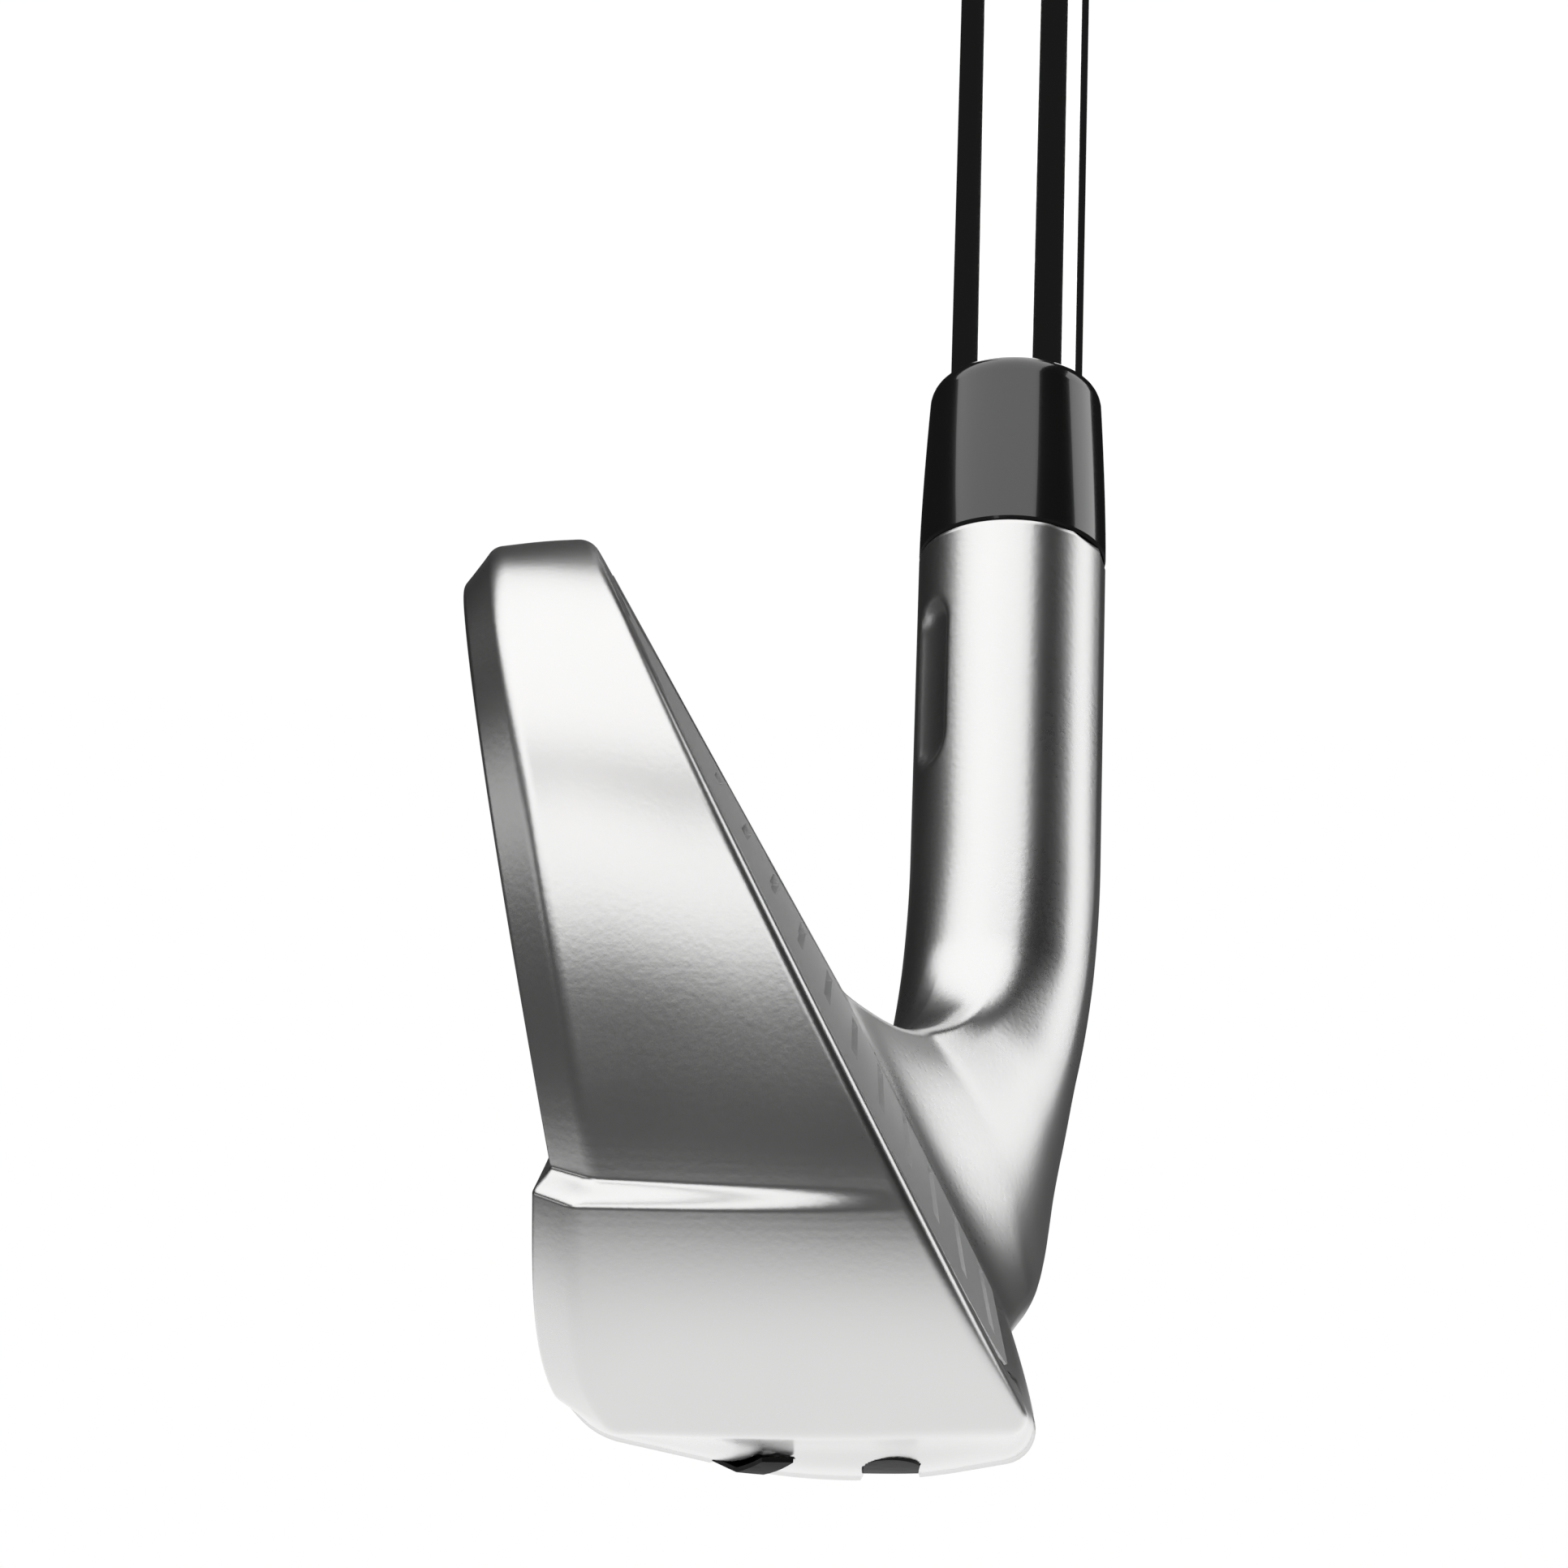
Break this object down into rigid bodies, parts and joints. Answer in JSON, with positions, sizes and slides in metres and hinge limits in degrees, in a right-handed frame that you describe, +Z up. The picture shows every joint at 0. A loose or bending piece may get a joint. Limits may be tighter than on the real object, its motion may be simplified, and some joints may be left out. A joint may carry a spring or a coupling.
{
  "type": "iron golf club",
  "caption": "Mid iron golf club: hollow cast head with a grooved face plate and a closed back, round ferrule, stepped steel shaft and ribbed rubber grip.",
  "frame": {"origin": "where the shaft's axis meets the ground, with the club's sole resting on the ground at address", "axes": "+X towards the target, the way the face looks; +Y from the toe towards the heel and the player; +Z up"},
  "size_m": [0.0468, 0.527, 0.8412],
  "materials": {
    "cast_steel": "satin plated",
    "face_steel": "blasted with milled score lines",
    "tungsten": "sintered",
    "soft_polymer": "matt",
    "hot_melt": "waxy",
    "slot_polymer": "matt",
    "number_paint": "enamel",
    "cap_polymer": "satin",
    "bond_tape": "matt",
    "badge_aluminium": "brushed",
    "badge_paint": "gloss",
    "epoxy": "cured resin",
    "brass_plug": "turned",
    "ferrule_plastic": "polished",
    "shaft_chrome": "mirror",
    "band_film": "film",
    "grip_rubber": "matt with a ribbed pattern",
    "cap_rubber": "smooth"
  },
  "bodies": {
    "root": {"head_body": "cast_steel", "face_plate": "face_steel", "toe_weight": "tungsten", "damping_bar": "soft_polymer", "hot_melt_pad": "hot_melt", "slot_insert": "slot_polymer", "number_fill": "number_paint", "back_cap": "cap_polymer", "cap_tape": "bond_tape", "badge_film": "bond_tape", "badge_plate": "badge_aluminium", "badge_inlay": "badge_paint", "hosel_epoxy": "epoxy", "tip_weight": "brass_plug", "ferrule": "ferrule_plastic", "shaft": "shaft_chrome", "shaft_band": "band_film", "grip_tape": "bond_tape", "grip": "grip_rubber", "grip_cap": "cap_rubber"}
  },
  "joints": []
}
